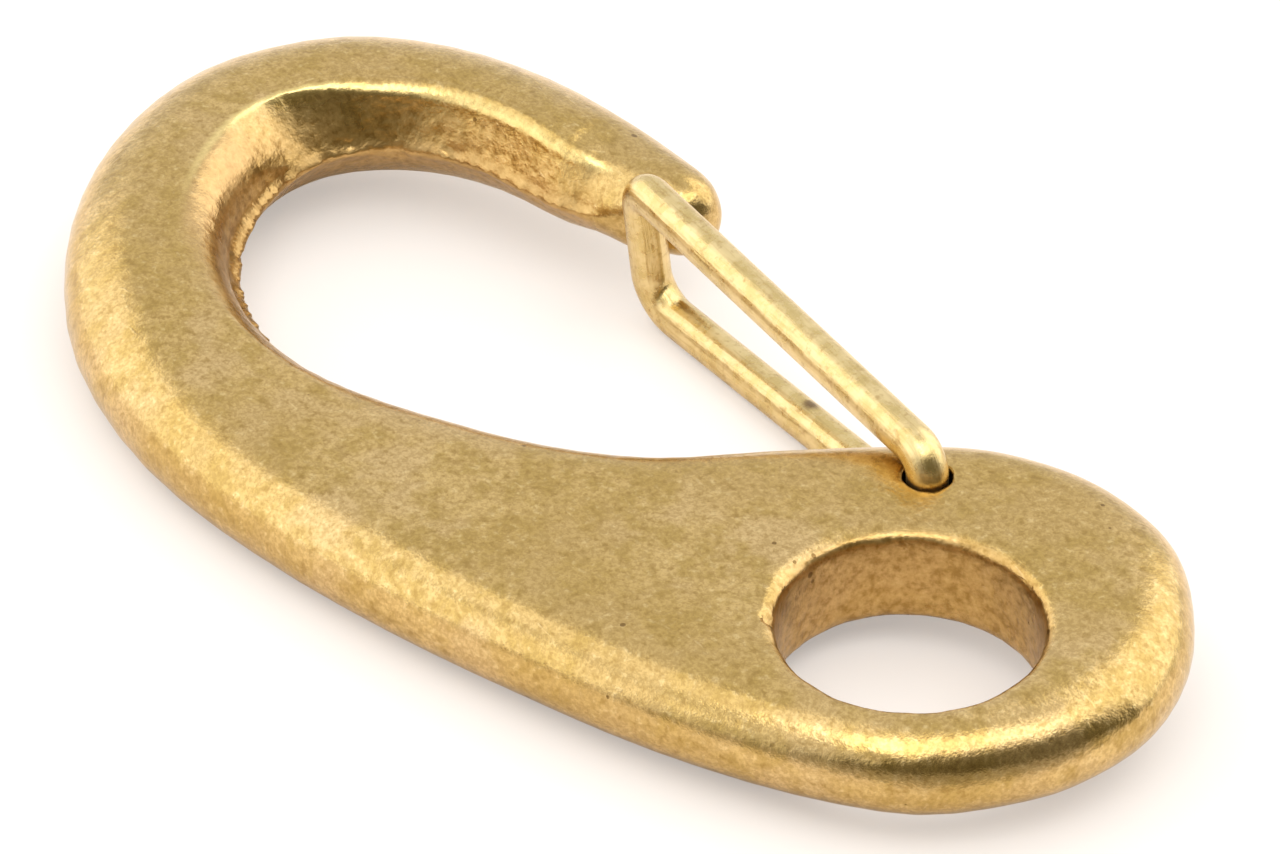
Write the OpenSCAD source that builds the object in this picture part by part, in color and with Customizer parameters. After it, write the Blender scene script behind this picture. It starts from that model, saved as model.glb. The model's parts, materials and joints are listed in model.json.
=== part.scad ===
// Spring link: a cast hook with an eye at one end, its mouth closed by a sprung wire gate.
// Millimetres. The origin is the centre of the eye, on the mid-plane of the casting.
// +X runs from the eye to the end of the bow, +Y to the back of the hook and +Z out of one face.

/* [Casting] */
// Thickness of the casting
body_t = 5.5; // [4.8:0.1:6.2]
// Centre of the eye to the outer end of the bow
bow_end = 59.2; // [57.6:0.2:63]
// Centre line to the outer side of the back
back_y = 20.1; // [19.5:0.1:22]
// Width of the bar at the end of the bow
bar_end = 9.1; // [7.8:0.1:9.9]
// Width of the bar at the back of the mouth
bar_back = 10.1; // [8.6:0.1:11]
// Depth of the rounding round the edge, measured across the face
edge_w = 3.2; // [2.4:0.1:3.3]
// Width of the slope on the inside of the bow, measured across the face
slope_w = 2.05; // [1.7:0.05:2.3]
// Height of the flash line left by the mould inside the mouth
flash_h = 0.12; // [0.05:0.01:0.2]

/* [Nose] */
// Diameter of the nose
nose_d = 4.9; // [4.5:0.1:5.2]
// Centre of the nose's round tip, along the hook
nose_x = 35.8; // [35:0.1:37.2]
// Centre of the nose's round tip, across the hook
nose_y = -13.1; // [-14:0.05:-12.8]
// Depth of the flat that the gate closes on
seat_flat = 0.35; // [0.1:0.05:0.5]

/* [Eye] */
// Diameter of the eye
eye_d = 12.8; // [11.5:0.1:13.2]
// Wall between the eye and the end of the casting
eye_wall = 4.4; // [4:0.1:5.5]
// Wall between the eye and the gate side of the casting
side_wall = 8.9; // [8.2:0.1:10]
// Radius of the rounded rims of the eye
rim_r = 0.65; // [0.3:0.05:0.7]

/* [Gate] */
// Diameter of the gate's wire
wire_d = 2.1; // [1.6:0.1:2.2]
// Clearance all round the wire in its two holes
hole_gap = 0.2; // [0.05:0.05:0.3]
// Depth of the two holes
hole_depth = 2; // [1.5:0.1:2.2]
// Clearance between the gate's legs and the faces of the casting
leg_gap = 0.1; // [0.05:0.05:0.3]
// Clearance between the closed gate and the nose
seat_gap = 0.1; // [0.05:0.05:0.3]
// Centre of both holes, along the hook
pivot_x = 8; // [7.2:0.1:8.6]
// Centre of the upper hole, across the hook
upper_y = -7.5; // [-8:0.05:-7.3]
// Centre of the lower hole, across the hook
lower_y = -10.75; // [-11:0.05:-10.3]
// Radius of the bends at the pivots, at the middle of the wire
pivot_bend = 1.3; // [1.2:0.05:1.35]
// Radius of the upper bend at the nose, at the middle of the wire
upper_bend = 1.2; // [1.2:0.1:1.8]
// Radius of the lower bend at the nose, at the middle of the wire
lower_bend = 2; // [1.2:0.1:2.6]

/* [Hidden] */

half_t = body_t / 2;
nose_r = nose_d / 2;
eye_r = eye_d / 2;
wire_r = wire_d / 2;
// Sides of the head, and of the mouth at the end of the bow and at the back
head_end = -(eye_r + eye_wall);
head_side = -(eye_r + side_wall);
mouth_end = bow_end - bar_end;
mouth_back = back_y - bar_back;
// Facets between two points of the outline, and rings from the edge up to the face
STEPS = 3;
RINGS = 7;
// Fullness of the rounding: 2 is an ellipse, more is squarer
fullness = 2.15;
// Share of the bar's half width that the rounding may take
most_round = 0.96;
// Distance over which the round nose turns into the flatter bar, in pairs of points
nose_run = 4;
// How much the slope bulges: 0 is a plain bevel and 1 is a full rounding
slope_bulge = 0.25;
// Where the slope and the flash line have come in fully from the nose, where they end at the back
// of the mouth, and over how far they fade out, all in pairs of points from the nose
slope_start = 0.7;
slope_end = 12;
flash_start = 2;
flash_end = 14;
fade_run = 3;

// Where the gate closes on the nose, as an angle round the tip
seat_angle = 119.5;

// The two edges of the bar, in pairs of points from the nose round the bow to the head
outer_edge = [
    [nose_x + 0.3, nose_y - nose_r + 0.1],
    [nose_x + 5.4, nose_y - nose_r + 0.25],
    [nose_x + 11.5, nose_y - nose_r + 1.35],
    [bow_end - 6.4, nose_y - nose_r + 3.9],
    [bow_end - 2, -7.3],
    [bow_end, -1.2],
    [bow_end - 0.7, 4.3],
    [bow_end - 3.7, back_y - 10.3],
    [bow_end - 8.5, back_y - 5.5],
    [44, back_y - 1.7],
    [35.6, back_y],
    [27, back_y - 0.5],
    [18.6, back_y - 2.2],
    [10.6, back_y - 4.6],
    [3.6, back_y - 7.15],
    [-3, back_y - 10.6],
    [head_end + 3, 5.6],
    [head_end + 0.6, 0.8]
];
inner_edge = [
    [nose_x + 0.4, nose_y + nose_r + 0.45],
    [nose_x + 4.2, nose_y + nose_r + 2.35],
    [nose_x + 8.8, nose_y + nose_r + 3.4],
    [mouth_end - 2.3, -5.5],
    [mouth_end - 0.4, -3],
    [mouth_end, -0.4],
    [mouth_end - 1, 2.7],
    [mouth_end - 3.2, mouth_back - 4.1],
    [mouth_end - 6.2, mouth_back - 1.7],
    [mouth_end - 9.9, mouth_back - 0.3],
    [36, mouth_back - 0.1],
    [31.1, mouth_back - 1],
    [26.6, mouth_back - 2.8],
    [22.3, mouth_back - 5.4],
    [18.6, mouth_back - 8.8],
    [15.8, mouth_back - 13.3],
    [12.8, -7.9],
    [10.1, -11.4]
];
// Round the head, from the last outer point to the last inner one
head_edge = [
    [head_end, -3],
    [head_end + 0.5, -6.8],
    [head_end + 2.4, -10.4],
    [head_end + 5.3, head_side + 2.2],
    [head_end + 8.3, head_side + 0.5],
    [0.6, head_side],
    [4.2, head_side + 0.4],
    [7.6, head_side + 1.9]
];
// Round the tip of the nose, from the flat that the gate closes on to the outer side:
// angle, and how far the point stands out from a true half round
nose_turn = [[seat_angle, -seat_flat], [150, -0.15], [180, 0.1], [210, 0.2], [240, 0]];
nose_edge = [for (a = nose_turn) [nose_x, nose_y] + (nose_r + a[1]) * [cos(a[0]), sin(a[0])]];

pairs = len(outer_edge) - 1;
outline = concat(outer_edge, head_edge, [for (i = [pairs:-1:0]) inner_edge[i]], nose_edge);
corners = len(outline);
n = corners * STEPS;

// A smooth closed curve through all points p, at the distance u counted in points
function round_curve(p, u) =
    let (i = floor(u), f = u - i, m = len(p),
         a = p[(i + m - 1) % m], b = p[i % m], c = p[(i + 1) % m], d = p[(i + 2) % m])
    b + f * (c - a) / 2 + f * f * (a - 2.5 * b + 2 * c - d / 2)
    + f * f * f * (1.5 * (b - c) + (d - a) / 2);
// The pair of points that the outline is at, counted from the nose
function pair_at(u) =
    u <= pairs ? u :
    u < pairs + len(head_edge) + 1 ? pairs :
    max(0, 2 * pairs + len(head_edge) + 1 - u);
// The middle of the bar
function middle(v) =
    let (i = min(floor(v), pairs - 1), f = v - i)
    ((1 - f) * (outer_edge[i] + inner_edge[i]) + f * (outer_edge[i + 1] + inner_edge[i + 1])) / 2;
function bar_width(v) =
    let (i = min(floor(v), pairs - 1), f = v - i)
    (1 - f) * norm(outer_edge[i] - inner_edge[i]) + f * norm(outer_edge[i + 1] - inner_edge[i + 1]);
// Half the thickness: the nose is a round bar and the rest of the casting is flat
function half_height(v) =
    let (f = min(1, v / nose_run))
    nose_r + (half_t - nose_r) * f * f * (3 - 2 * f);
// Share of what is only on the inside of the bow: 1 there, fading out at both ends
function inside_bow(u, start, end) =
    let (v = pair_at(u))
    u <= pairs + len(head_edge) ? 0 : min(1, v / start) * min(1, max(0, (end - v) / fade_run));

edge_u = [for (i = [0:n - 1]) i / STEPS];
edge = [for (u = edge_u) round_curve(outline, u)];
inward = [for (i = [0:n - 1])
    let (t = edge[(i + 1) % n] - edge[(i + n - 1) % n])
    [-t.y, t.x] / norm(t)];
spine = [for (j = [0:pairs * STEPS]) middle(j / STEPS)];

// How far in and how high a ring of the skin lies, as shares of its width and of half the thickness
function rounding(ring) =
    let (a = 90 * ring / RINGS)
    [1 - pow(cos(a), 2 / fullness), pow(sin(a), 2 / fullness)];
function slope(ring) =
    let (t = ring / RINGS)
    (1 - slope_bulge) * [t, t] + slope_bulge * [1 - cos(90 * t), sin(90 * t)];

// One point of the casting's skin: ring 0 is the edge and the last ring meets the face
function skin_point(i, ring) =
    let (v = pair_at(edge_u[i]),
         s = inside_bow(edge_u[i], slope_start, slope_end),
         line = flash_h * inside_bow(edge_u[i], flash_start, flash_end),
         w = min(edge_w, most_round * bar_width(v) / 2),
         in = (1 - s) * w * rounding(ring)[0] + s * slope_w * slope(ring)[0],
         up = (1 - s) * rounding(ring)[1] + s * slope(ring)[1],
         p = edge[i] + inward[i] * (ring == 0 ? -line : in))
    [p.x, p.y, half_height(v) * up];

function flip(p) = [p.x, p.y, -p.z];
function spine_at(i) = round(pair_at(edge_u[i]) * STEPS);

module casting() {
    middle_ring = [for (i = [0:n - 1]) skin_point(i, 0)];
    top_rings = [for (k = [1:RINGS]) for (i = [0:n - 1]) skin_point(i, k)];
    top_spine = [for (j = [0:len(spine) - 1]) [spine[j].x, spine[j].y, half_height(j / STEPS)]];
    half = concat(top_rings, top_spine);
    top = n;
    bottom = n + len(half);
    side_starts = [top, bottom];
    faces = [for (s = [0, 1]) for (i = [0:n - 1])
        let (j = (i + 1) % n,
             start = side_starts[s],
             f = start + RINGS * n + spine_at(i),
             g = start + RINGS * n + spine_at(j),
             last = start + (RINGS - 1) * n,
             strips = concat(
                 [[i, start + i, start + j], [i, start + j, j]],
                 [for (k = [0:RINGS - 2])
                     each [[start + k * n + i, start + (k + 1) * n + i, start + (k + 1) * n + j],
                           [start + k * n + i, start + (k + 1) * n + j, start + k * n + j]]],
                 f == g ? [[last + i, f, last + j]] : [[last + i, f, g], [last + i, g, last + j]]))
        each s == 0 ? strips : [for (t = strips) [t[0], t[2], t[1]]]];
    polyhedron(points = concat(middle_ring, half, [for (p = half) flip(p)]), faces = faces);
}

// What is cut away to round one rim of the eye
module rim_cut() {
    rotate_extrude($fn = 96)
        translate([eye_r, half_t - rim_r])
            difference() {
                translate([-rim_r, 0])
                    square([2 * rim_r, 2 * rim_r]);
                translate([rim_r, 0])
                    circle(r = rim_r, $fn = 48);
            }
}

module hook_body() {
    color([0.79, 0.65, 0.42])
        difference() {
            casting();
            cylinder(h = body_t + 2, r = eye_r, center = true, $fn = 96);
            rim_cut();
            mirror([0, 0, 1])
                rim_cut();
            translate([pivot_x, upper_y, half_t - hole_depth])
                cylinder(h = hole_depth + 1, r = wire_r + hole_gap, $fn = 48);
            translate([pivot_x, lower_y, -half_t - 1])
                cylinder(h = hole_depth + 1, r = wire_r + hole_gap, $fn = 48);
        }
}

// Height of the gate's legs, how deep their ends reach and how much the cross-piece leans
leg_z = half_t + leg_gap + wire_r;
end_z = half_t - hole_depth + hole_gap;
lean = [0.1, -0.53];
seat_reach = nose_r - seat_flat + seat_gap + wire_r;
seat = [nose_x, nose_y] + seat_reach * [cos(seat_angle), sin(seat_angle)];
route = [
    [pivot_x, upper_y, end_z],
    [pivot_x, upper_y, leg_z],
    [seat.x - lean.x, seat.y - lean.y, leg_z],
    [seat.x + lean.x, seat.y + lean.y, -leg_z],
    [pivot_x, lower_y, -leg_z],
    [pivot_x, lower_y, -end_z]
];
bends = [0, pivot_bend, upper_bend, lower_bend, pivot_bend, 0];
// How much fatter the wire gets where it is bent, and how far a straight runs into a bend
swell = 0.02;
lap = 0.05;

function unit(v) = v / norm(v);
// Half the angle through which the wire turns at corner i, and how much of each side it takes
function half_turn(i) = acos(unit(route[i] - route[i - 1]) * unit(route[i + 1] - route[i])) / 2;
function taken(i) = bends[i] == 0 ? 0 : bends[i] * tan(half_turn(i));

// A straight stretch of wire between two points
module straight(a, b) {
    d = b - a;
    translate(a)
        rotate([0, acos(d.z / norm(d)), atan2(d.y, d.x)])
            cylinder(h = norm(d), r = wire_r, $fn = 32);
}

// A bend at corner i, turned about the axis square to both of its sides
module bend(i) {
    u = unit(route[i] - route[i - 1]);
    v = unit(route[i + 1] - route[i]);
    side = unit(v - u * (u * v));
    up = cross(side, u);
    centre = route[i] - u * taken(i) + side * bends[i];
    multmatrix([
        [-side.x, u.x, -up.x, centre.x],
        [-side.y, u.y, -up.y, centre.y],
        [-side.z, u.z, -up.z, centre.z],
        [0, 0, 0, 1]
    ])
        rotate_extrude(angle = 2 * half_turn(i), $fn = 96)
            translate([bends[i], 0])
                circle(r = wire_r + swell, $fn = 32);
}

module wire_gate() {
    color([0.84, 0.77, 0.52]) {
        for (i = [0:len(route) - 2]) {
            d = unit(route[i + 1] - route[i]);
            from = i == 0 ? 0 : taken(i) - lap;
            to = i == len(route) - 2 ? 0 : taken(i + 1) - lap;
            straight(route[i] + d * from, route[i + 1] - d * to);
        }
        for (i = [1:len(route) - 2])
            bend(i);
    }
}

hook_body();
wire_gate();
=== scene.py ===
import json
import math

import bpy
import numpy as np
from mathutils import Euler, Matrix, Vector, noise


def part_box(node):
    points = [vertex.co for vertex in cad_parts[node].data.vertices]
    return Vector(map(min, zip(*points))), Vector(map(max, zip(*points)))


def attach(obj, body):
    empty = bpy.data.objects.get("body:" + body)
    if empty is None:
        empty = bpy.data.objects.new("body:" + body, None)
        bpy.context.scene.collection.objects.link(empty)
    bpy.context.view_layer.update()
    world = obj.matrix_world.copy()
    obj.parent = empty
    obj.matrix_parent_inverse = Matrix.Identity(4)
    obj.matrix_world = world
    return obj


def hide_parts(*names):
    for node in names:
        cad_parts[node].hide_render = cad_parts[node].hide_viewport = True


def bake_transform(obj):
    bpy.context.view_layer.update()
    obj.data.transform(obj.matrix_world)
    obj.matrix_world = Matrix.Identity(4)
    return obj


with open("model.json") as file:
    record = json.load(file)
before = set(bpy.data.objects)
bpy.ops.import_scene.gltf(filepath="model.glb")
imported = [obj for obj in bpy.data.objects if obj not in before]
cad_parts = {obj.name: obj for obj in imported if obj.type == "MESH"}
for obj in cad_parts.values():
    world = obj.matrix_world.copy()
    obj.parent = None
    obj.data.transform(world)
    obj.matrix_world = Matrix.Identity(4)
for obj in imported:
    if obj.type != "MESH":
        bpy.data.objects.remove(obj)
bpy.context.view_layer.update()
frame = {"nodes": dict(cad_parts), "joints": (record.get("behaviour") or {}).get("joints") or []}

# ---------------------------------------------------------------- hook body
# The hook is one brass casting: a flat bar that runs round the bow to the eye, its edges rounded
# by tumbling. Inside the bow the tumbling never reached, so the bevel, the parting line and the
# wall of the eye are still as they left the mould.

# Sizes are in mm. Upper and above mean the side with the gate's upper hole.
MM = 0.001  # metres
HALF_THICK = 2.75  # from the parting line to the face
SKIN_GRID = 0.25  # between two points of the skin
FAIRING_PASSES = 24
BOW_START = 19  # x from which the bar counts as the bow
MOUTH = np.array([38.0, 0.0])  # a point in the middle of the mouth, seen from above


def apply_modifiers(piece):
    """Keeps the piece's mesh as its modifiers leave it."""
    bpy.context.view_layer.update()
    depsgraph = bpy.context.evaluated_depsgraph_get()
    made = bpy.data.meshes.new_from_object(piece.evaluated_get(depsgraph))
    piece.modifiers.clear()
    piece.data = made


def points_of(piece):
    flat = np.empty(len(piece.data.vertices) * 3)
    piece.data.vertices.foreach_get("co", flat)
    return flat.reshape(-1, 3)


def normals_of(piece):
    flat = np.empty(len(piece.data.vertices) * 3)
    piece.data.vertices.foreach_get("normal", flat)
    return flat.reshape(-1, 3)


def set_points(piece, points):
    piece.data.vertices.foreach_set("co", np.asarray(points, float).ravel())
    piece.data.update()


def edges_of(piece):
    flat = np.empty(len(piece.data.edges) * 2, np.int32)
    piece.data.edges.foreach_get("vertices", flat)
    return flat.reshape(-1, 2)


def store(piece, name, values):
    """Keeps one number for each point of the piece, for its material to read."""
    piece.data.attributes.new(name, "FLOAT", "POINT").data.foreach_set("value", values)


def fair(points, edges, passes, share=1.0, relax=0.5, restore=-0.53):
    """Evens out facets without shrinking the form: each pass relaxes the points, then restores them.

    With a restore of 0 it wears edges round instead.
    """
    count = np.bincount(edges.ravel(), minlength=len(points))[:, None]
    for _ in range(passes):
        for pull in (relax, restore):
            near = np.stack(
                [
                    np.bincount(edges[:, 0], points[edges[:, 1], k], len(points))
                    + np.bincount(edges[:, 1], points[edges[:, 0], k], len(points))
                    for k in range(3)
                ],
                axis=1,
            )
            points = points + pull * share * (near / count - points)
    return points


def ramp(value, start, end):
    """0 before start, 1 after end and an even S between them."""
    t = np.clip((value - start) / (end - start), 0, 1)
    return t * t * (3 - 2 * t)


def bump(value, start, full, fall, end):
    """Comes in from start to full and goes out again from fall to end."""
    return ramp(value, start, full) * (1 - ramp(value, fall, end))


def waves(points, size, seed):
    """Smooth noise of about -1 to 1 with waves of the given size."""
    shift = Vector((seed * 17.3, seed * 5.1, seed * 11.7))
    return np.array([noise.noise(Vector(p) / size + shift) for p in points])


def parting_line(points, normals, inside):
    """The casting's outline at mid height, from the nose round the bow, on the mouth's side or outside."""
    ring = np.abs(points[:, 2]) < 0.01
    out = points[:, :2] - MOUTH
    faces_mouth = (out * normals[:, :2]).sum(1) < 0
    chosen = ring & (faces_mouth if inside else ~faces_mouth) & (points[:, 0] > BOW_START - 2)
    row = np.unique(points[chosen, :2].round(3), axis=0)
    nose_bearing = -101  # degrees, seen from the middle of the mouth
    farthest = 300  # degrees round from the nose, at the shank
    x, y = (row - MOUTH).T
    bearing = (np.degrees(np.arctan2(y, x)) - nose_bearing) % 360
    order = np.argsort(bearing)
    return row[order][bearing[order] < farthest]


def nearest_on(row, points):
    """For each point, seen from above: how deep it lies behind the row, where along it, and the way in."""
    starts, runs = row[:-1], np.diff(row, axis=0)
    lengths = np.linalg.norm(runs, axis=1)
    along = np.concatenate([[0], np.cumsum(lengths)[:-1]])
    offset = points[:, None, :2] - starts
    t = np.clip((offset * runs).sum(2) / lengths**2, 0, 1)
    gap = offset - t[..., None] * runs
    far = np.linalg.norm(gap, axis=2)
    best = far.argmin(1)
    pick = np.arange(len(points))
    across = np.stack([runs[best, 1], -runs[best, 0]], 1) / lengths[best, None]
    depth = (gap[pick, best] * across).sum(1)
    beyond = far[pick, best] > np.abs(depth) + 1e-6
    depth = np.where(beyond, np.sign(depth) * far[pick, best], depth)
    return depth, along[best] + t[pick, best] * lengths[best], across


def onto_section(places, sections):
    """For each place, as a depth and a height: the nearest place on its own row of section points."""
    starts, runs = sections[:, :-1], np.diff(sections, axis=1)
    share = np.clip(((places[:, None] - starts) * runs).sum(2) / (runs**2).sum(2), 0, 1)
    nearby = starts + share[..., None] * runs
    nearest = ((nearby - places[:, None]) ** 2).sum(2).argmin(1)
    return nearby[np.arange(len(places)), nearest]


solid = frame["nodes"]["hook_body"]
solid_points = points_of(solid) / MM
solid_normals = normals_of(solid)
lip = parting_line(solid_points, solid_normals, inside=True)
back = parting_line(solid_points, solid_normals, inside=False)

casting = bpy.data.objects.new("casting_skin", solid.data.copy())
bpy.context.scene.collection.objects.link(casting)
set_points(casting, solid_points)
skin = casting.modifiers.new("skin", "REMESH")
skin.mode = "VOXEL"
skin.voxel_size = SKIN_GRID
apply_modifiers(casting)
edges = edges_of(casting)
points = fair(points_of(casting), edges, FAIRING_PASSES)

# Where each point lies: how deep behind the mouth's edge, how far round that edge from the nose,
# which way leads deeper, and how deep behind the outer side
bow = points[:, 0] > BOW_START
depth = np.zeros(len(points))
along = np.full(len(points), 90.0)  # outside the bow it is past every span
outward = np.zeros((len(points), 2))
outer_depth = np.zeros(len(points))
depth[bow], along[bow], outward[bow] = nearest_on(lip, points[bow])
outer_depth[bow] = -nearest_on(back, points[bow])[0]

# A span is a stretch of the mouth's edge, in mm round it from the nose: where something starts to
# come in, where it has come in fully, where it starts to fade and where it is gone.

# The bow is thicker than the rest above the parting line
CROWN = 0.6
CROWN_SPAN = (0.5, 7.5, 30, 44)
CROWN_RISE = (0.5, 4.5)  # depths from the outer side over which the crown rises
thicker = CROWN * bump(along, *CROWN_SPAN)
crown = thicker * ramp(outer_depth, *CROWN_RISE)
height = points[:, 2]
points[:, 2] += np.where(height > 0, crown * np.clip(height / HALF_THICK, 0, 1), 0)

# The wall stands back from the parting line, which leaves a ledge, widest at the end of the bow
LEDGE = 0.3
LEDGE_MORE = 0.45
LEDGE_SPAN = (18, 24, 34, 46)
WALL_SPAN = (1, 4, 38, 48)
WALL_FOOT = (0.1, 0.4)  # heights over which the ledge turns up into the wall
ledge = LEDGE + LEDGE_MORE * bump(along, *LEDGE_SPAN)
stand_back = ledge * ramp(height, *WALL_FOOT)
stand_back *= bump(along, *WALL_SPAN) * (1 - ramp(depth, 1.2, 3.5))
points[:, :2] += outward * stand_back[:, None]
depth[bow] = nearest_on(lip, points[bow])[0]

# A bevel joins the wall to the face: steep and hollow beside the nose, wide and full from the
# corner on. Each point near it goes to the nearest place on the section that it is meant to have,
# which runs from the parting line over the ledge and up the bevel, and on along the face.
BEVEL = 1.6  # how deep behind the mouth's edge it ends beside the nose
BEVEL_MORE = 1.5  # how much deeper it ends from the corner on
BEVEL_SPAN = (1, 3, 31, 42)
BEVEL_FOOT = 0.15  # how high above the parting line it starts
FULLNESS = 0.9  # of a section that would be a plain slope at 0 and a quarter round at 1
HOLLOW = 0.25
NOSE_DROP = 0.3  # how much lower the face is at the nose
PAST_BEVEL = 1.2  # how far beyond the bevel points still move
FACE_RUN = 3  # how far the section follows the face
SECTION_POINTS = 25
bevel = BEVEL + BEVEL_MORE * ramp(along, 14, 21)
fullness = FULLNESS * ramp(along, 18, 22.5)
hollow = HOLLOW * (1 - ramp(along, 12, 18))
face = HALF_THICK - NOSE_DROP + NOSE_DROP * ramp(along, 0, 17) + thicker
near = np.flatnonzero(bow & (height > 0) & (depth < bevel + PAST_BEVEL) & (along < WALL_SPAN[-1]))
t = np.linspace(0, 1, SECTION_POINTS) ** 2
full, scoop = fullness[near, None], hollow[near, None]
wide, high = (bevel - ledge)[near, None], (face - BEVEL_FOOT)[near, None]
rise = (1 - full) * (t - scoop * t * (1 - t)) + full * np.sqrt(1 - (1 - t) ** 2)
slopes = np.stack([ledge[near, None] + wide * t, BEVEL_FOOT + high * rise], 2)
sections = np.concatenate([np.zeros((len(near), 1, 2)), slopes, slopes[:, -1:] + [[[FACE_RUN, 0]]]], 1)
places = np.stack([depth[near], height[near]], 1)
move = onto_section(places, sections) - places
fade = bump(along, *BEVEL_SPAN) * (1 - ramp(depth, bevel + 0.3, bevel + PAST_BEVEL))
move *= fade[near, None]
points[near, :2] += outward[near] * move[:, :1]
points[near, 2] += move[:, 1]
depth[near] += move[:, 0]

# Metal squeezed out along the parting line, and walls that the tumbling never reached
FLASH_SPAN = (1, 3, 42, 50)
RAW_SPAN = (1, 3, 40, 48)
flash = bump(along, *FLASH_SPAN) * (1 - ramp(depth, ledge + 0.1, ledge + 0.5))
flash *= 1 - ramp(np.abs(height), 0.3, 0.7)
inside_mouth = bump(along, *RAW_SPAN) * (1 - ramp(depth, 0.3 * bevel, 1.1 * bevel))

# The bevel is trued a little and its corner more. The edge of the parting line is worn.
TRUED_SPAN = (0.5, 3, 40, 48)
TRUED_PASSES = 2
CORNER_SPAN = (18, 22, 30, 36)
CORNER_PASSES = 14
LIP_SPAN = (0, 2, 44, 50)
LIP_PASSES = 4
trued = bump(depth, -0.5, 0.2, bevel + 0.4, bevel + PAST_BEVEL)
trued *= bump(along, *TRUED_SPAN) * (points[:, 2] > 0)
points = fair(points, edges, TRUED_PASSES, trued[:, None])
soft = bump(along, *CORNER_SPAN) * bump(depth, 1.5, 2.2, bevel + 0.8, bevel + 2) * (points[:, 2] > 1)
points = fair(points, edges, CORNER_PASSES, soft[:, None])
on_lip = bow * bump(along, *LIP_SPAN) * (1 - ramp(depth, 0.3, 0.7))
on_lip *= 1 - ramp(np.abs(points[:, 2]), 0.5, 0.9)
points = fair(points, edges, LIP_PASSES, on_lip[:, None], restore=0)

# Knocks have rounded the nose, and use the rims of the eye
NOSE = (34.2, -13.4)
NOSE_PASSES = 10
EYE_R = 6.4
RIM_PASSES = 9
from_nose = np.hypot(points[:, 0] - NOSE[0], points[:, 1] - NOSE[1])
on_nose = (1 - ramp(from_nose, 1.4, 2.6)) * ramp(points[:, 2], 0.2, 0.8)
points = fair(points, edges, NOSE_PASSES, on_nose[:, None], restore=0)
from_eye = np.hypot(points[:, 0], points[:, 1])
on_rim = bump(from_eye, EYE_R - 0.5, EYE_R, EYE_R + 0.8, EYE_R + 1.4)
on_rim *= ramp(np.abs(points[:, 2]), 1.2, 1.8)
points = fair(points, edges, RIM_PASSES, on_rim[:, None], restore=0)
inside_eye = 1 - ramp(from_eye, EYE_R + 0.1, EYE_R + 0.5)
raw = np.maximum(inside_mouth, inside_eye)

# The mould's unevenness, tears in the flash, a nick in the upper rim of the eye and its waviness
UNEVEN_FINE = 0.006
UNEVEN_RAW = 0.02
UNEVEN_BROAD = 0.015
TEAR = 0.09
NICK = (4.1, 5.2)
NICK_Z = 2.7
NICK_DEPTH = 0.3
RIM_WAVE = 0.06
set_points(casting, points * MM)
normals = normals_of(casting)
fine = waves(points, size=0.7, seed=1)
broad = waves(points, size=4.5, seed=2)
torn = waves(points, size=1.3, seed=3)
push = (UNEVEN_FINE + UNEVEN_RAW * raw) * fine + UNEVEN_BROAD * broad
push -= TEAR * flash * ramp(torn, 0.1, 0.45)
from_nick = np.hypot(points[:, 0] - NICK[0], points[:, 1] - NICK[1])
from_nick += 0.2 * np.abs(points[:, 2] - NICK_Z)
push -= NICK_DEPTH * (1 - ramp(from_nick, 0.1, 0.55))
upper_rim = bump(from_eye, EYE_R - 0.2, EYE_R + 0.2, EYE_R + 0.6, EYE_R + 1.1) * (points[:, 2] > 2)
push += RIM_WAVE * upper_rim * waves(points, size=1.6, seed=4)
points = points + normals * push[:, None]
set_points(casting, points * MM)

# The material reads where the skin is raw, where it is flash, where a highlight is painted along
# the bevel's upper edge, and where a pinkish reflection is painted on the corner
CREST_SPAN = (0.5, 3, 22, 28)
PINK_SPAN = (18, 23, 27, 32)
# Painted highlight: the bevel's upper edge, the ridge that catches the front softbox, is made near-white
crest_highlight = bump(depth, bevel - 0.3, bevel - 0.05, bevel + 0.05, bevel + 0.3)
crest_highlight *= bump(along, *CREST_SPAN) * (points[:, 2] > 1)
# Painted reflection: a pale pinkish patch on the bevel's corner, where it mirrors the left softbox
painted_pink_reflection = bump(along, *PINK_SPAN) * bump(depth, 0.9, 1.4, 2.6, 3.4) * (points[:, 2] > 0)
store(casting, "raw", raw)
store(casting, "flash", flash)
store(casting, "crest_highlight", crest_highlight)
store(casting, "corner", painted_pink_reflection)
casting.data.shade_smooth()
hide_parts("hook_body")
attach(casting, "hook_body")


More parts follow.
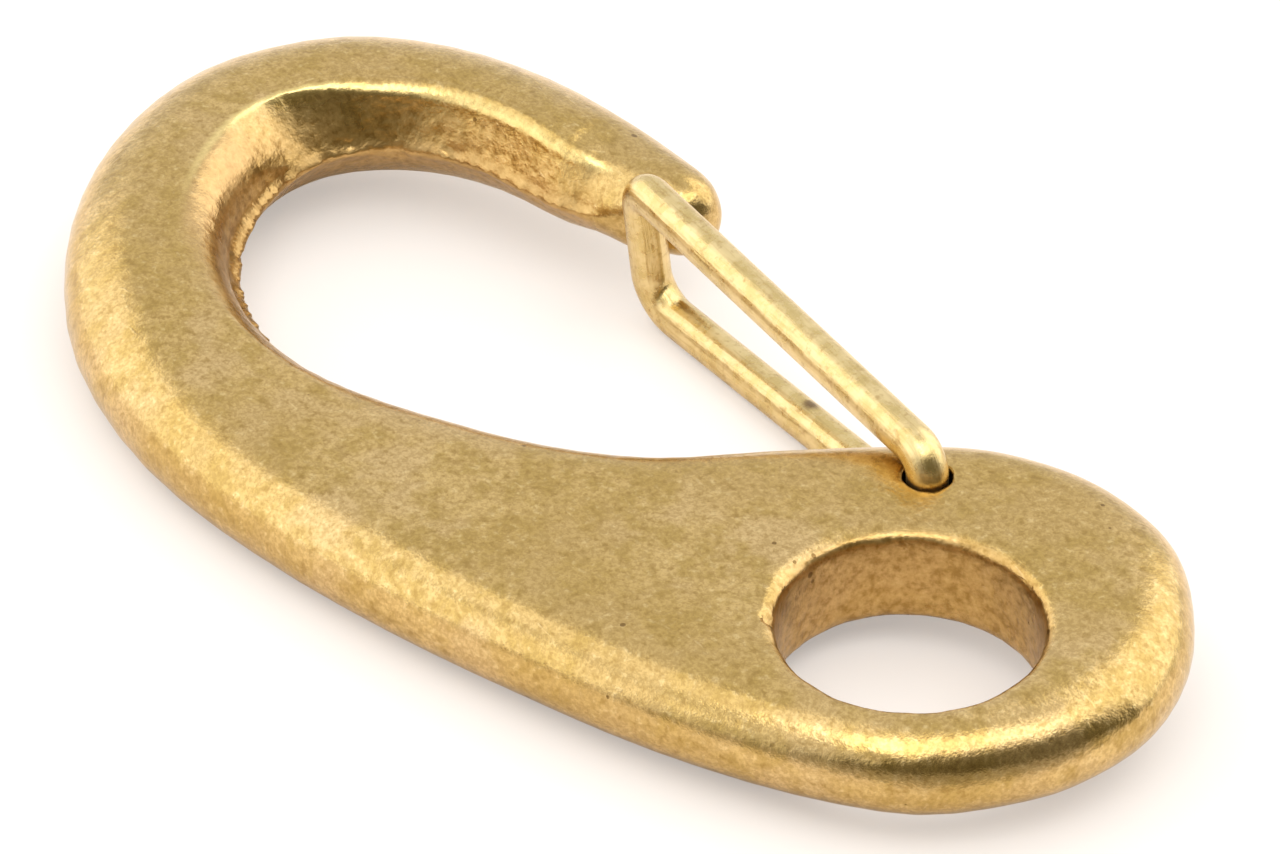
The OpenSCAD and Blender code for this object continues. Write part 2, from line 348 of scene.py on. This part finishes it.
class Nodes:
    """Builds a node tree: each call adds a node, sets its inputs and joins what is given."""

    def __init__(self, tree):
        self.tree = tree
        self.tree.nodes.clear()

    def add(self, kind, inputs=None, **settings):
        node = self.tree.nodes.new(kind)
        for key, value in settings.items():
            setattr(node, key, value)
        for key, value in (inputs or {}).items():
            if isinstance(value, bpy.types.NodeSocket):
                self.tree.links.new(value, node.inputs[key])
            else:
                node.inputs[key].default_value = value
        return node

    def stored(self, name):
        return self.add("ShaderNodeAttribute", attribute_type="GEOMETRY", attribute_name=name).outputs["Fac"]

    def noise(self, position, scale, detail, roughness, distortion=0.0):
        inputs = {
            "Vector": position,
            "Scale": scale,
            "Detail": detail,
            "Roughness": roughness,
            "Distortion": distortion,
        }
        return self.add("ShaderNodeTexNoise", inputs).outputs["Fac"]

    def span(self, value, low, high, to_low=0.0, to_high=1.0):
        return self.add(
            "ShaderNodeMapRange",
            {0: value, 1: low, 2: high, 3: to_low, 4: to_high},
            interpolation_type="SMOOTHSTEP",
        ).outputs[0]

    def mix(self, share, one, other):
        return self.add("ShaderNodeMix", {0: share, 6: one, 7: other}, data_type="RGBA").outputs[2]

    def math(self, operation, one, other):
        return self.add("ShaderNodeMath", {0: one, 1: other}, operation=operation).outputs[0]

    def metal(self, colour, roughness, height, strength):
        """Ends the tree with bare metal that has a fine relief."""
        relief = {"Height": height, "Strength": strength, "Distance": 0.00005}
        inputs = {
            "Base Color": colour,
            "Metallic": 1.0,
            "Roughness": roughness,
            "Normal": self.add("ShaderNodeBump", relief).outputs["Normal"],
        }
        shader = self.add("ShaderNodeBsdfPrincipled", inputs)
        self.add("ShaderNodeOutputMaterial", {"Surface": shader.outputs[0]})


def new_material(name):
    material = bpy.data.materials.new(name)
    material.use_nodes = True
    return material, Nodes(material.node_tree)


def linear(red, green, blue):
    """A colour as it looks on screen, 0 to 255, turned into the renderer's linear scale."""

    def channel(value):
        value = value / 255
        return value / 12.92 if value <= 0.04045 else ((value + 0.055) / 1.055) ** 2.4

    return (channel(red), channel(green), channel(blue), 1.0)


def cast_brass():
    brass = linear(188, 158, 94)
    pale_brass = linear(211, 180, 119)
    bloom = linear(212, 182, 130)
    deep = linear(186, 155, 88)
    dark_speck = linear(156, 124, 66)
    bright_speck = linear(238, 212, 156)
    dark_grain = linear(152, 122, 66)
    raw_dark = linear(158, 120, 64)
    raw_pale = linear(202, 164, 104)
    # The colour of the painted pinkish reflection on the bevel's corner
    painted_pink_reflection = linear(214, 176, 130)
    flash_brass = linear(186, 152, 100)
    # The colour of the painted highlight along the bevel's upper edge
    painted_ridge_highlight = linear(252, 228, 156)
    pit_brown = linear(112, 82, 40)
    scratch_bright = linear(238, 212, 160)

    material, n = new_material("cast_brass")
    place = n.add("ShaderNodeTexCoord").outputs["Object"]
    raw = n.stored("raw")
    flash = n.stored("flash")
    corner = n.stored("corner")
    crest_highlight = n.stored("crest_highlight")
    grain = n.noise(place, scale=4600, detail=2.0, roughness=0.65)
    speckle = n.noise(place, scale=2100, detail=3.0, roughness=0.6)
    mottle = n.noise(place, scale=900, detail=3.0, roughness=0.6)
    blotch = n.noise(place, scale=260, detail=3.0, roughness=0.55)
    cloud = n.noise(place, scale=70, detail=2.0, roughness=0.5)

    tone = n.mix(n.span(mottle, 0.38, 0.62), brass, pale_brass)
    tone = n.mix(n.span(blotch, 0.45, 0.62, 0.0, 0.75), tone, bloom)
    tone = n.mix(n.span(cloud, 0.42, 0.6, 0.0, 0.5), tone, deep)
    tone = n.mix(n.span(speckle, 0.3, 0.47, 0.6, 0.0), tone, dark_speck)
    tone = n.mix(n.span(speckle, 0.56, 0.72, 0.0, 0.4), tone, bright_speck)
    tone = n.mix(n.span(grain, 0.38, 0.62, 0.4, 0.0), tone, dark_grain)
    raw_tone = n.mix(n.span(speckle, 0.35, 0.6), raw_dark, raw_pale)
    tone = n.mix(n.math("MULTIPLY", raw, 0.55), tone, raw_tone)
    # Painted reflection: the pale pinkish patch on the bevel's corner
    tone = n.mix(n.math("MULTIPLY", corner, 0.35), tone, painted_pink_reflection)
    tone = n.mix(n.math("MULTIPLY", flash, 0.45), tone, flash_brass)
    # Painted highlight along the bevel's upper edge
    tone = n.mix(n.math("MULTIPLY", crest_highlight, 0.6), tone, painted_ridge_highlight)

    # Gas left pits in the casting and handling left short scratches
    spots = n.add("ShaderNodeTexVoronoi", {"Vector": place, "Scale": 620.0, "Randomness": 1.0})
    chance = n.noise(place, scale=300, detail=2.0, roughness=0.5)
    pit_size = n.span(chance, 0.55, 0.7, 0.0, 0.11)
    pit = n.math("MULTIPLY", n.math("LESS_THAN", spots.outputs["Distance"], pit_size), 0.75)
    tone = n.mix(pit, tone, pit_brown)
    stretch = {"Vector": place, "Rotation": (0.0, 0.0, 0.6), "Scale": (0.35, 1.6, 1.0)}
    stretched = n.add("ShaderNodeMapping", stretch).outputs[0]
    lines = n.noise(stretched, scale=1900, detail=2.0, roughness=0.5, distortion=0.4)
    scratch = n.span(lines, 0.7, 0.78)
    tone = n.mix(n.math("MULTIPLY", scratch, 0.25), tone, scratch_bright)

    height = n.math("ADD", n.math("MULTIPLY", grain, 0.5), n.math("MULTIPLY", speckle, 0.9))
    height = n.math("SUBTRACT", height, n.math("MULTIPLY", pit, 1.2))
    height = n.math("ADD", height, n.math("MULTIPLY", scratch, 0.35))
    height = n.math("ADD", height, n.math("MULTIPLY", raw, n.math("MULTIPLY", mottle, 3.0)))
    smooth = n.span(blotch, 0.3, 0.7, 0.19, 0.27)
    roughness = n.math("ADD", smooth, n.math("MULTIPLY", raw, 0.08))
    n.metal(tone, roughness, height, strength=0.5)
    return material


casting.data.materials.clear()
casting.data.materials.append(cast_brass())

# ---------------------------------------------------------------- wire gate
# The gate is one length of drawn brass wire, bent into a long narrow U. Its two ends turn in
# offset holes in the casting, so that opening it twists the wire and the wire springs shut.

WIRE_R = 1.05
SIDES = 40
RING_STEP = 0.22  # between two rings of points along the wire
ARC_RINGS = 1.6  # how many times closer they are in a bend
FEWEST_RINGS = 6  # in one bend


def new_mesh_object(name, points_mm, faces):
    mesh = bpy.data.meshes.new(name)
    mesh.from_pydata([tuple(p) for p in np.asarray(points_mm) * MM], [], faces)
    mesh.update()
    mesh.shade_smooth()
    piece = bpy.data.objects.new(name, mesh)
    bpy.context.scene.collection.objects.link(piece)
    return piece


def unit(vector):
    return vector / np.linalg.norm(vector)


def rounded_route(corners, radii, step):
    """Points along straight runs joined by arcs of the given radii, about a step apart."""
    runs = [[corners[0]]]
    for i in range(1, len(corners) - 1):
        u, v = unit(corners[i] - corners[i - 1]), unit(corners[i + 1] - corners[i])
        half = math.acos(float(np.clip(u @ v, -1, 1))) / 2
        side = unit(v - u * (u @ v))
        start = corners[i] - u * radii[i] * math.tan(half)
        centre = start + side * radii[i]
        steps = max(FEWEST_RINGS, int(2 * half * radii[i] / step * ARC_RINGS))
        arc = [
            centre - side * radii[i] * math.cos(a) + u * radii[i] * math.sin(a)
            for a in np.linspace(0, 2 * half, steps + 1)
        ]
        runs.append(arc)
    runs.append([corners[-1]])
    path = []
    for one, other in zip(runs[:-1], runs[1:]):
        path += one
        gap = other[0] - one[-1]
        count = int(np.linalg.norm(gap) / step)
        path += [one[-1] + gap * k / (count + 1) for k in range(1, count + 1)]
    return np.array(path + runs[-1])


def swept(path, radius, sides, first_side):
    """The points and faces of a round bar along the path, whose sides run along it without twist."""
    tangents = np.gradient(path, axis=0)
    tangents /= np.linalg.norm(tangents, axis=1)[:, None]
    across = unit(first_side - tangents[0] * (first_side @ tangents[0]))
    points = []
    for p, t in zip(path, tangents):
        across = unit(across - t * (across @ t))
        other = np.cross(t, across)
        for k in range(sides):
            a = 2 * math.pi * k / sides
            points.append(p + radius * (math.cos(a) * across + math.sin(a) * other))
    faces = []
    for i in range(len(path) - 1):
        for k in range(sides):
            m = (k + 1) % sides
            faces.append((i * sides + k, i * sides + m, (i + 1) * sides + m, (i + 1) * sides + k))
    faces.append(tuple(range(sides))[::-1])
    faces.append(tuple(range((len(path) - 1) * sides, len(path) * sides)))
    return np.array(points), faces


gate_low, gate_high = (np.array(corner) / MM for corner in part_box("wire_gate"))
pivot = np.array(frame["joints"][0]["pos_m"]) / MM
leg_z = gate_high[2] - WIRE_R
END_Z = 0.95  # how close the wire's ends come to the parting line
LOWER_Y = -10.75  # of the lower hole
gate_route = np.array(
    [
        [pivot[0], pivot[1], END_Z],
        [pivot[0], pivot[1], leg_z],
        [34.1, -9.74, leg_z],
        [34.3, -10.8, -leg_z],
        [pivot[0], LOWER_Y, -leg_z],
        [pivot[0], LOWER_Y, -END_Z],
    ]
)
BEND_RADII = [0, 1.3, 1.2, 2.0, 1.3, 0]
gate_path = rounded_route(gate_route, BEND_RADII, RING_STEP)
wire_points, wire_faces = swept(gate_path, WIRE_R, SIDES, np.array([0.0, 1.0, 0.0]))

# Bending left a flat along the cross-piece and a lump inside the lower bend. Use left small dents.
FLAT_SIDE = unit(np.array([-0.91, 0.41, 0.0]))
FLAT_DEPTH = 0.13
FLAT_HEIGHTS = (-2.4, -1.6, 2.6, 3.4)
CROSS_PIECE_X = 31  # where the cross-piece starts
# Each lump has a place, a width and a height. A dent has a height below 0.
LUMPS = [
    ((32.7, -10.6, -2.65), 0.6, 0.16),
    ((29.2, -9.2, 4.97), 0.3, -0.06),
    ((27.35, -8.94, 4.94), 0.25, -0.05),
]
SMUDGE = (21.5, -11.0, -2.9)
centres = np.repeat(gate_path, SIDES, axis=0)
on_cross_piece = bump(wire_points[:, 2], *FLAT_HEIGHTS) * (wire_points[:, 0] > CROSS_PIECE_X)
proud = np.clip((wire_points - centres) @ FLAT_SIDE - (WIRE_R - FLAT_DEPTH), 0, None)
wire_points -= (proud * on_cross_piece)[:, None] * FLAT_SIDE
for centre, width, height in LUMPS:
    near = 1 - ramp(np.linalg.norm(wire_points - centre, axis=1), 0, width)
    wire_points += (height * near)[:, None] * (wire_points - centres) / WIRE_R
wire = new_mesh_object("gate_wire", wire_points, wire_faces)

# The material reads how far along the wire a point lies, on which side of it, and in the smudge
turn = np.tile(2 * np.pi * np.arange(SIDES) / SIDES, len(gate_path))
store(wire, "run", np.repeat(np.arange(len(gate_path)) * RING_STEP, SIDES))
store(wire, "side", WIRE_R * np.cos(turn))
store(wire, "rise", WIRE_R * np.sin(turn))
store(wire, "smudge", 1 - ramp(np.linalg.norm(wire_points - SMUDGE, axis=1), 0.2, 0.6))


def drawn_brass():
    brass = linear(205, 180, 120)
    pale_brass = linear(225, 202, 148)
    dark_streak = linear(180, 148, 88)
    dark_speck = linear(168, 132, 80)
    smudge_brown = linear(104, 76, 50)

    material, n = new_material("drawn_brass")
    place = n.add("ShaderNodeTexCoord").outputs["Object"]
    mottle = n.noise(place, scale=900, detail=3.0, roughness=0.6)
    speckle = n.noise(place, scale=2300, detail=3.0, roughness=0.6)
    grain = n.noise(place, scale=4200, detail=3.0, roughness=0.7)
    drawn = n.math("MULTIPLY", n.stored("run"), 0.06)
    round_wire = n.add("ShaderNodeCombineXYZ", {0: drawn, 1: n.stored("side"), 2: n.stored("rise")})
    streaks = n.noise(round_wire.outputs[0], scale=6.0, detail=3.0, roughness=0.6)
    tone = n.mix(n.span(mottle, 0.35, 0.65), brass, pale_brass)
    tone = n.mix(n.span(streaks, 0.3, 0.5, 0.4, 0.0), tone, dark_streak)
    tone = n.mix(n.span(speckle, 0.28, 0.45, 0.5, 0.0), tone, dark_speck)
    tone = n.mix(n.math("MULTIPLY", n.stored("smudge"), 0.85), tone, smudge_brown)
    height = n.math("ADD", n.math("MULTIPLY", streaks, 1.2), n.math("MULTIPLY", speckle, 0.8))
    height = n.math("ADD", height, n.math("MULTIPLY", grain, 0.5))
    roughness = n.span(mottle, 0.3, 0.7, 0.24, 0.33)
    n.metal(tone, roughness, height, strength=0.4)
    return material


wire.data.materials.append(drawn_brass())
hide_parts("wire_gate")
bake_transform(wire)

# ---------------------------------------------------------------- stage, light and camera
# A plain pale floor. The hook rests on it with the gate's lower leg and the casting's opposite edge.

REST_TILT = math.radians(4.58)
FLOOR_HALF = 3000  # mm
floor_corners = FLOOR_HALF * np.array([(-1, -1, 0), (1, -1, 0), (1, 1, 0), (-1, 1, 0)])
floor = new_mesh_object("floor", floor_corners, [(0, 1, 2, 3)])
floor.location = (0.02, LOWER_Y * MM, gate_low[2] * MM)
floor.rotation_euler = Euler((REST_TILT, 0, 0))


def heading(azimuth, elevation):
    """Unit vector for a bearing from +Y towards +X and a height above the horizon, in degrees."""
    a, e = math.radians(azimuth), math.radians(elevation)
    return Vector((math.sin(a) * math.cos(e), math.cos(a) * math.cos(e), math.sin(e)))


def pale_floor():
    material, n = new_material("pale_floor")
    paper = n.add("ShaderNodeBsdfDiffuse", {"Color": (0.93, 0.86, 0.8, 1)})
    white = n.add("ShaderNodeEmission", {"Color": (1.0, 0.985, 0.97, 1), "Strength": 1.0})
    rays = n.add("ShaderNodeLightPath")
    seen = n.math("MULTIPLY", rays.outputs["Is Camera Ray"], 0.36)
    floor_look = n.add("ShaderNodeMixShader", {0: seen, 1: paper.outputs[0], 2: white.outputs[0]})
    # Painted dark reflection: seen only in the brass, the floor beyond the front of the hook is dark, so the
    # room's dark side runs on over it
    place = n.add("ShaderNodeTexCoord").outputs["Object"]
    front = n.add("ShaderNodeVectorMath", {0: place, 1: tuple(heading(-60, 0))}, operation="DOT_PRODUCT")
    far_front = n.span(front.outputs["Value"], 0.036, 0.046, 0.0, 0.7)
    mirrored = n.math("MULTIPLY", rays.outputs["Is Glossy Ray"], far_front)
    # The painted dark sheet, which only reflected rays see
    shade = n.add("ShaderNodeBsdfDiffuse", {"Color": (0.12, 0.11, 0.08, 1)})
    floor_look = n.add("ShaderNodeMixShader", {0: mirrored, 1: floor_look.outputs[0], 2: shade.outputs[0]})
    n.add("ShaderNodeOutputMaterial", {"Surface": floor_look.outputs[0]})
    return material


floor.data.materials.append(pale_floor())

LAMP_DISTANCE = 0.9
LIT_PLACE = Vector((0.02, 0, 0))  # near the middle of the hook


def softbox(name, azimuth, elevation, wide, high, level):
    """A large diffused lamp that spans wide by high degrees as the hook sees it.

    A level of 1 is as bright as white.
    """
    lamp = bpy.data.lights.new(name, "AREA")
    lamp.shape = "RECTANGLE"
    lamp.size = 2 * LAMP_DISTANCE * math.tan(math.radians(wide / 2))
    lamp.size_y = 2 * LAMP_DISTANCE * math.tan(math.radians(high / 2))
    lamp.energy = level * math.pi * lamp.size * lamp.size_y
    holder = bpy.data.objects.new(name, lamp)
    way = heading(azimuth, elevation)
    holder.location = LIT_PLACE + way * LAMP_DISTANCE
    holder.rotation_euler = way.to_track_quat("Z", "Y").to_euler()
    bpy.context.scene.collection.objects.link(holder)


softbox("softbox_right", 46, 25, wide=90, high=50, level=0.9)
softbox("softbox_left", -166, 32, wide=66, high=60, level=1.05)
softbox("softbox_front", -72, 64, wide=60, high=30, level=1.9)
softbox("softbox_top", 15, 68, wide=70, high=26, level=0.7)

world = bpy.data.worlds.new("studio")
bpy.context.scene.world = world
world.use_nodes = True
n = Nodes(world.node_tree)
direction = n.add("ShaderNodeTexCoord").outputs["Generated"]


def towards(way):
    """How nearly a direction in the world is that way: 1 is exactly, 0 is square to it."""
    product = n.add("ShaderNodeVectorMath", {0: direction, 1: tuple(way)}, operation="DOT_PRODUCT")
    return product.outputs["Value"]


# The room is dark towards -X, below an edge that rises from the horizon near +Y to 50 degrees at -X
below_edge = n.span(towards(heading(80, 39)), -0.08, 0.06, 1.0, 0.0)
in_front = n.span(towards(heading(-72, 0)), 0.15, 0.5)
dark = n.math("MULTIPLY", below_edge, in_front)
BRIGHT_WALL = (1.05, 1.05, 1.05, 1)
DARK_WALL = (0.19, 0.17, 0.11, 1)
wall = n.mix(dark, BRIGHT_WALL, DARK_WALL)
room = n.add("ShaderNodeBackground", {"Color": wall, "Strength": 1.0})
white = n.add("ShaderNodeBackground", {"Color": (1, 1, 1, 1), "Strength": 1.0})
rays = n.add("ShaderNodeLightPath")
look = {0: rays.outputs["Is Camera Ray"], 1: room.outputs[0], 2: white.outputs[0]}
seen = n.add("ShaderNodeMixShader", look)
n.add("ShaderNodeOutputWorld", {"Surface": seen.outputs[0]})

# A long lens, from above the eye's end of the hook
AIM = Vector((0.02225, -0.00076, 0.0))
DISTANCE = 0.3473
AZIMUTH = math.radians(-127)
ELEVATION = math.radians(38)
to_camera = Vector(
    (
        math.sin(AZIMUTH) * math.cos(ELEVATION),
        -math.cos(AZIMUTH) * math.cos(ELEVATION),
        math.sin(ELEVATION),
    )
)
camera = bpy.data.objects.new("camera", bpy.data.cameras.new("camera"))
camera.data.sensor_width = 36
camera.data.lens = 196.9
camera.location = AIM + to_camera * DISTANCE
camera.rotation_euler = (-to_camera).to_track_quat("-Z", "Y").to_euler()
bpy.context.scene.collection.objects.link(camera)
bpy.context.scene.camera = camera
bpy.context.scene.view_settings.view_transform = "Standard"
